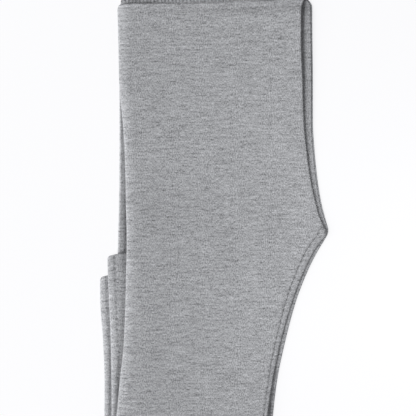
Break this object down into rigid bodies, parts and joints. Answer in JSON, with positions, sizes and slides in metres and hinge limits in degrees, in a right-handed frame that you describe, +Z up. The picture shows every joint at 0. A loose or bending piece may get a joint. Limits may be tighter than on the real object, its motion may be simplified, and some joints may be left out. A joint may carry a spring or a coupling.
{
  "type": "pair of baby leggings",
  "caption": "Folded pair of grey melange jersey baby leggings with a ribbed waistband and twin-stitched hems.",
  "frame": {"origin": "middle of the folded garment's footprint, on the surface that it lies on", "axes": "+X across the garment from the outer side of the legs to the rise and the inseams, +Y from the leg folds to the waist, +Z up from the surface"},
  "size_m": [0.1416, 0.32, 0.0109],
  "materials": {
    "jersey": "matt grey melange fine jersey",
    "rib": "matt grey melange rib knit"
  },
  "bodies": {
    "root": {"left_front_panel": "jersey", "left_back_panel": "jersey", "right_front_panel": "jersey", "right_back_panel": "jersey", "waistband": "rib"}
  },
  "joints": []
}
